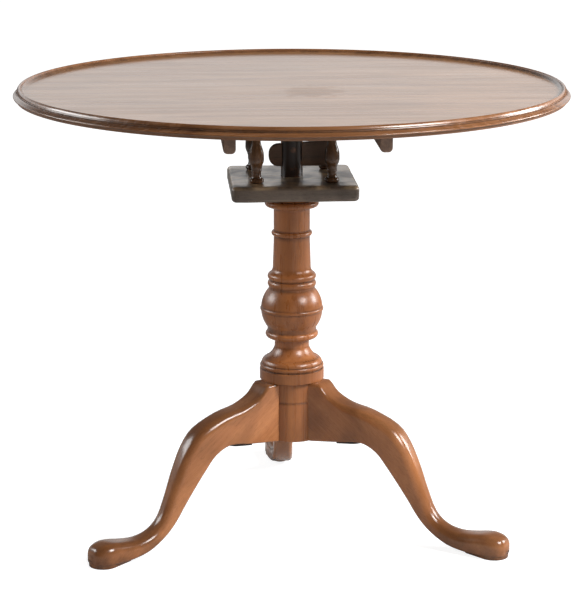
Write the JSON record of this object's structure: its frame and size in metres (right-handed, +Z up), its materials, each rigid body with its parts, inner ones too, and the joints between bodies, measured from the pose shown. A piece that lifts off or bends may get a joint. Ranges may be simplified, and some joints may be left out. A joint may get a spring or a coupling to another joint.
{
  "type": "tray top tea table",
  "caption": "Round tea table with a moulded tray top that tilts and turns on a birdcage, on a turned pillar with cabriole legs and pad feet.",
  "frame": {"origin": "on the floor, under the pillar's axis", "axes": "+Z up; -Y to the front, where the top's edge goes down when it tilts; +X to the right seen from the front"},
  "size_m": [0.856, 0.856, 0.711],
  "materials": {
    "table_wood": "polished",
    "top_wood": "polished",
    "cage_wood": "dull",
    "dark_wood": "satin",
    "iron": "dull",
    "brass": "worn",
    "steel": "dull"
  },
  "bodies": {
    "pedestal": {"pillar": "table_wood", "leg_back": "table_wood", "leg_left": "table_wood", "leg_right": "table_wood", "brace": "iron", "brace_nails": "iron"},
    "cage": {"cage_lower_block": "cage_wood", "cage_upper_block": "cage_wood", "baluster_front_left": "dark_wood", "baluster_front_right": "dark_wood", "baluster_back_right": "dark_wood", "baluster_back_left": "dark_wood", "catch_keeper": "brass", "keeper_screws": "brass"},
    "key": {"cage_key": "dark_wood"},
    "top": {"table_top": "top_wood", "batten_left": "cage_wood", "batten_right": "cage_wood", "batten_screws": "steel", "catch_plate": "brass", "catch_guides": "brass", "catch_screws": "brass"},
    "bolt": {"catch_bolt": "brass", "catch_knob": "brass"}
  },
  "joints": [
    {"name": "cage_turn", "type": "hinge", "parent": "pedestal", "child": "cage", "pos_m": [0, 0, 0.542], "axis": [0, 0, 1], "continuous": true},
    {"name": "key_draw", "type": "slide", "parent": "pedestal", "child": "key", "axis": [1, 0, 0], "range_m": [0, 0.036]},
    {"name": "top_tilt", "type": "hinge", "parent": "cage", "child": "top", "pos_m": [0, -0.087, 0.68], "axis": [1, 0, 0], "range_deg": [0, 90]},
    {"name": "catch_slide", "type": "slide", "parent": "top", "child": "bolt", "axis": [0, -1, 0], "range_m": [0, 0.009]}
  ]
}
